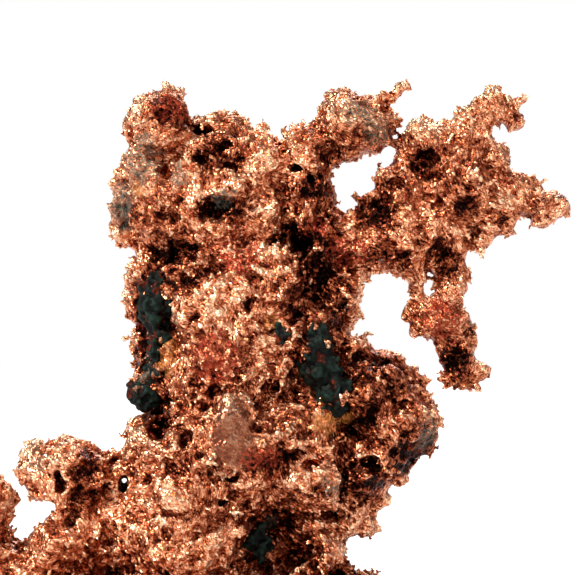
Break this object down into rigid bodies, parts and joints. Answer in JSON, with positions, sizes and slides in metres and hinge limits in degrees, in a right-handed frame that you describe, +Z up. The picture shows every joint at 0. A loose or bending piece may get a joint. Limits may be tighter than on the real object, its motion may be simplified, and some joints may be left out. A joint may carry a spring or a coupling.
{
  "type": "native copper nugget",
  "caption": "Branching, hackly nugget of native copper with dark green copper minerals in its hollows, standing on its own rough foot.",
  "frame": {"origin": "on the underside, below the middle of the bounding box", "axes": "+Z up from the underside; +X along the longest way across, towards the fan of branches; the front faces -Y"},
  "size_m": [0.0806, 0.0318, 0.074],
  "materials": {
    "copper": "rough, sparkling natural copper",
    "green_mineral": "dull to waxy"
  },
  "bodies": {
    "root": {"foot": "copper", "trunk": "copper", "left_crown": "copper", "middle_arm": "copper", "right_fan": "copper", "hanging_branch": "copper", "right_lobe": "copper", "left_knob": "copper", "far_left_lobe": "copper", "green_filling_left": "green_mineral", "green_filling_middle": "green_mineral", "green_filling_lower": "green_mineral"}
  },
  "joints": []
}
